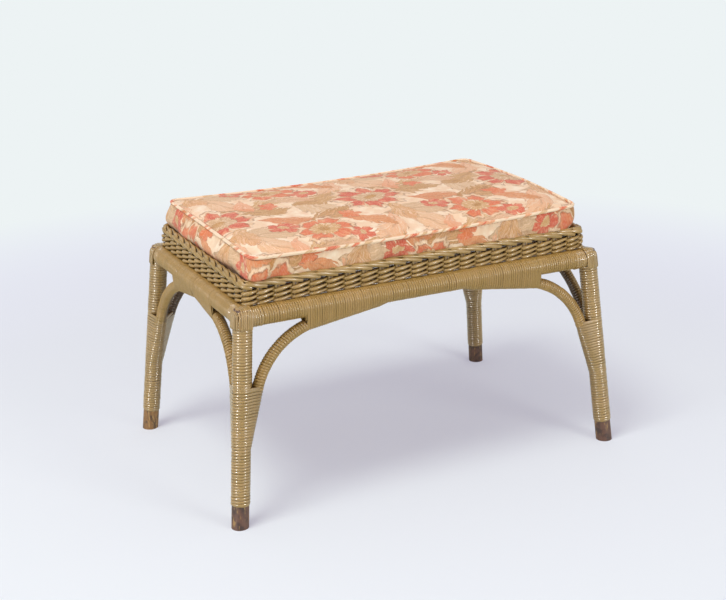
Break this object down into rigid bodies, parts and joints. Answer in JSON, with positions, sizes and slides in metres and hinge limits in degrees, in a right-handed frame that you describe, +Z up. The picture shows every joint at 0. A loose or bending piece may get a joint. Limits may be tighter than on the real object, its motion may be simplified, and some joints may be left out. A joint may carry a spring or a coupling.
{
  "type": "wicker footstool",
  "caption": "Rectangular wicker footstool with splayed reed-wrapped legs, bent braces, a woven collar and a loose piped box cushion.",
  "frame": {"origin": "on the floor, below the middle of the stool", "axes": "+X along the length of the seat, +Y from front to back, +Z up"},
  "size_m": [0.6864, 0.4464, 0.4139],
  "materials": {
    "wood_poles": "worn, oiled hardwood poles",
    "cane": "natural cane",
    "reed_wrap": "reed painted khaki, semi-gloss",
    "collar_reed": "woven reed painted khaki, semi-gloss",
    "seat_reed": "woven flat reed, painted",
    "nails": "bright wire nails",
    "cushion_cloth": "printed cotton in cream, coral and ochre",
    "piping": "cotton piping, cream and coral",
    "filling": "upholstery filling"
  },
  "bodies": {
    "frame": {"leg_front_left": "wood_poles", "leg_front_right": "wood_poles", "leg_back_left": "wood_poles", "leg_back_right": "wood_poles", "rail_front": "wood_poles", "rail_back": "wood_poles", "rail_left": "wood_poles", "rail_right": "wood_poles", "brace_front_left_long": "cane", "brace_front_right_long": "cane", "brace_back_left_long": "cane", "brace_back_right_long": "cane", "brace_front_left_short": "cane", "brace_front_right_short": "cane", "brace_back_left_short": "cane", "brace_back_right_short": "cane", "leg_wrap_lower_front_left": "reed_wrap", "leg_wrap_lower_front_right": "reed_wrap", "leg_wrap_lower_back_left": "reed_wrap", "leg_wrap_lower_back_right": "reed_wrap", "leg_wrap_upper_front_left": "reed_wrap", "leg_wrap_upper_front_right": "reed_wrap", "leg_wrap_upper_back_left": "reed_wrap", "leg_wrap_upper_back_right": "reed_wrap", "brace_wrap_front_left_long": "reed_wrap", "brace_wrap_front_right_long": "reed_wrap", "brace_wrap_back_left_long": "reed_wrap", "brace_wrap_back_right_long": "reed_wrap", "brace_wrap_front_left_short": "reed_wrap", "brace_wrap_front_right_short": "reed_wrap", "brace_wrap_back_left_short": "reed_wrap", "brace_wrap_back_right_short": "reed_wrap", "rail_wrap_front": "reed_wrap", "rail_wrap_back": "reed_wrap", "rail_wrap_left": "reed_wrap", "rail_wrap_right": "reed_wrap", "corner_binding_front_left": "reed_wrap", "corner_binding_front_right": "reed_wrap", "corner_binding_back_left": "reed_wrap", "corner_binding_back_right": "reed_wrap", "brace_nails": "nails", "ledger_nails": "nails", "seat_ledgers": "cane", "seat_canes": "cane", "seat_mat": "seat_reed", "collar_stakes": "collar_reed", "collar_weave": "collar_reed", "collar_border": "collar_reed"},
    "cushion": {"cushion_filling": "filling", "cushion_top_panel": "cushion_cloth", "cushion_side_band": "cushion_cloth", "cushion_bottom_panel": "cushion_cloth", "cushion_top_welt": "piping", "cushion_bottom_welt": "piping"}
  },
  "joints": [
    {"name": "cushion_lift", "type": "slide", "parent": "frame", "child": "cushion", "axis": [0, 0, 1], "range_m": [0, 0.1]}
  ]
}
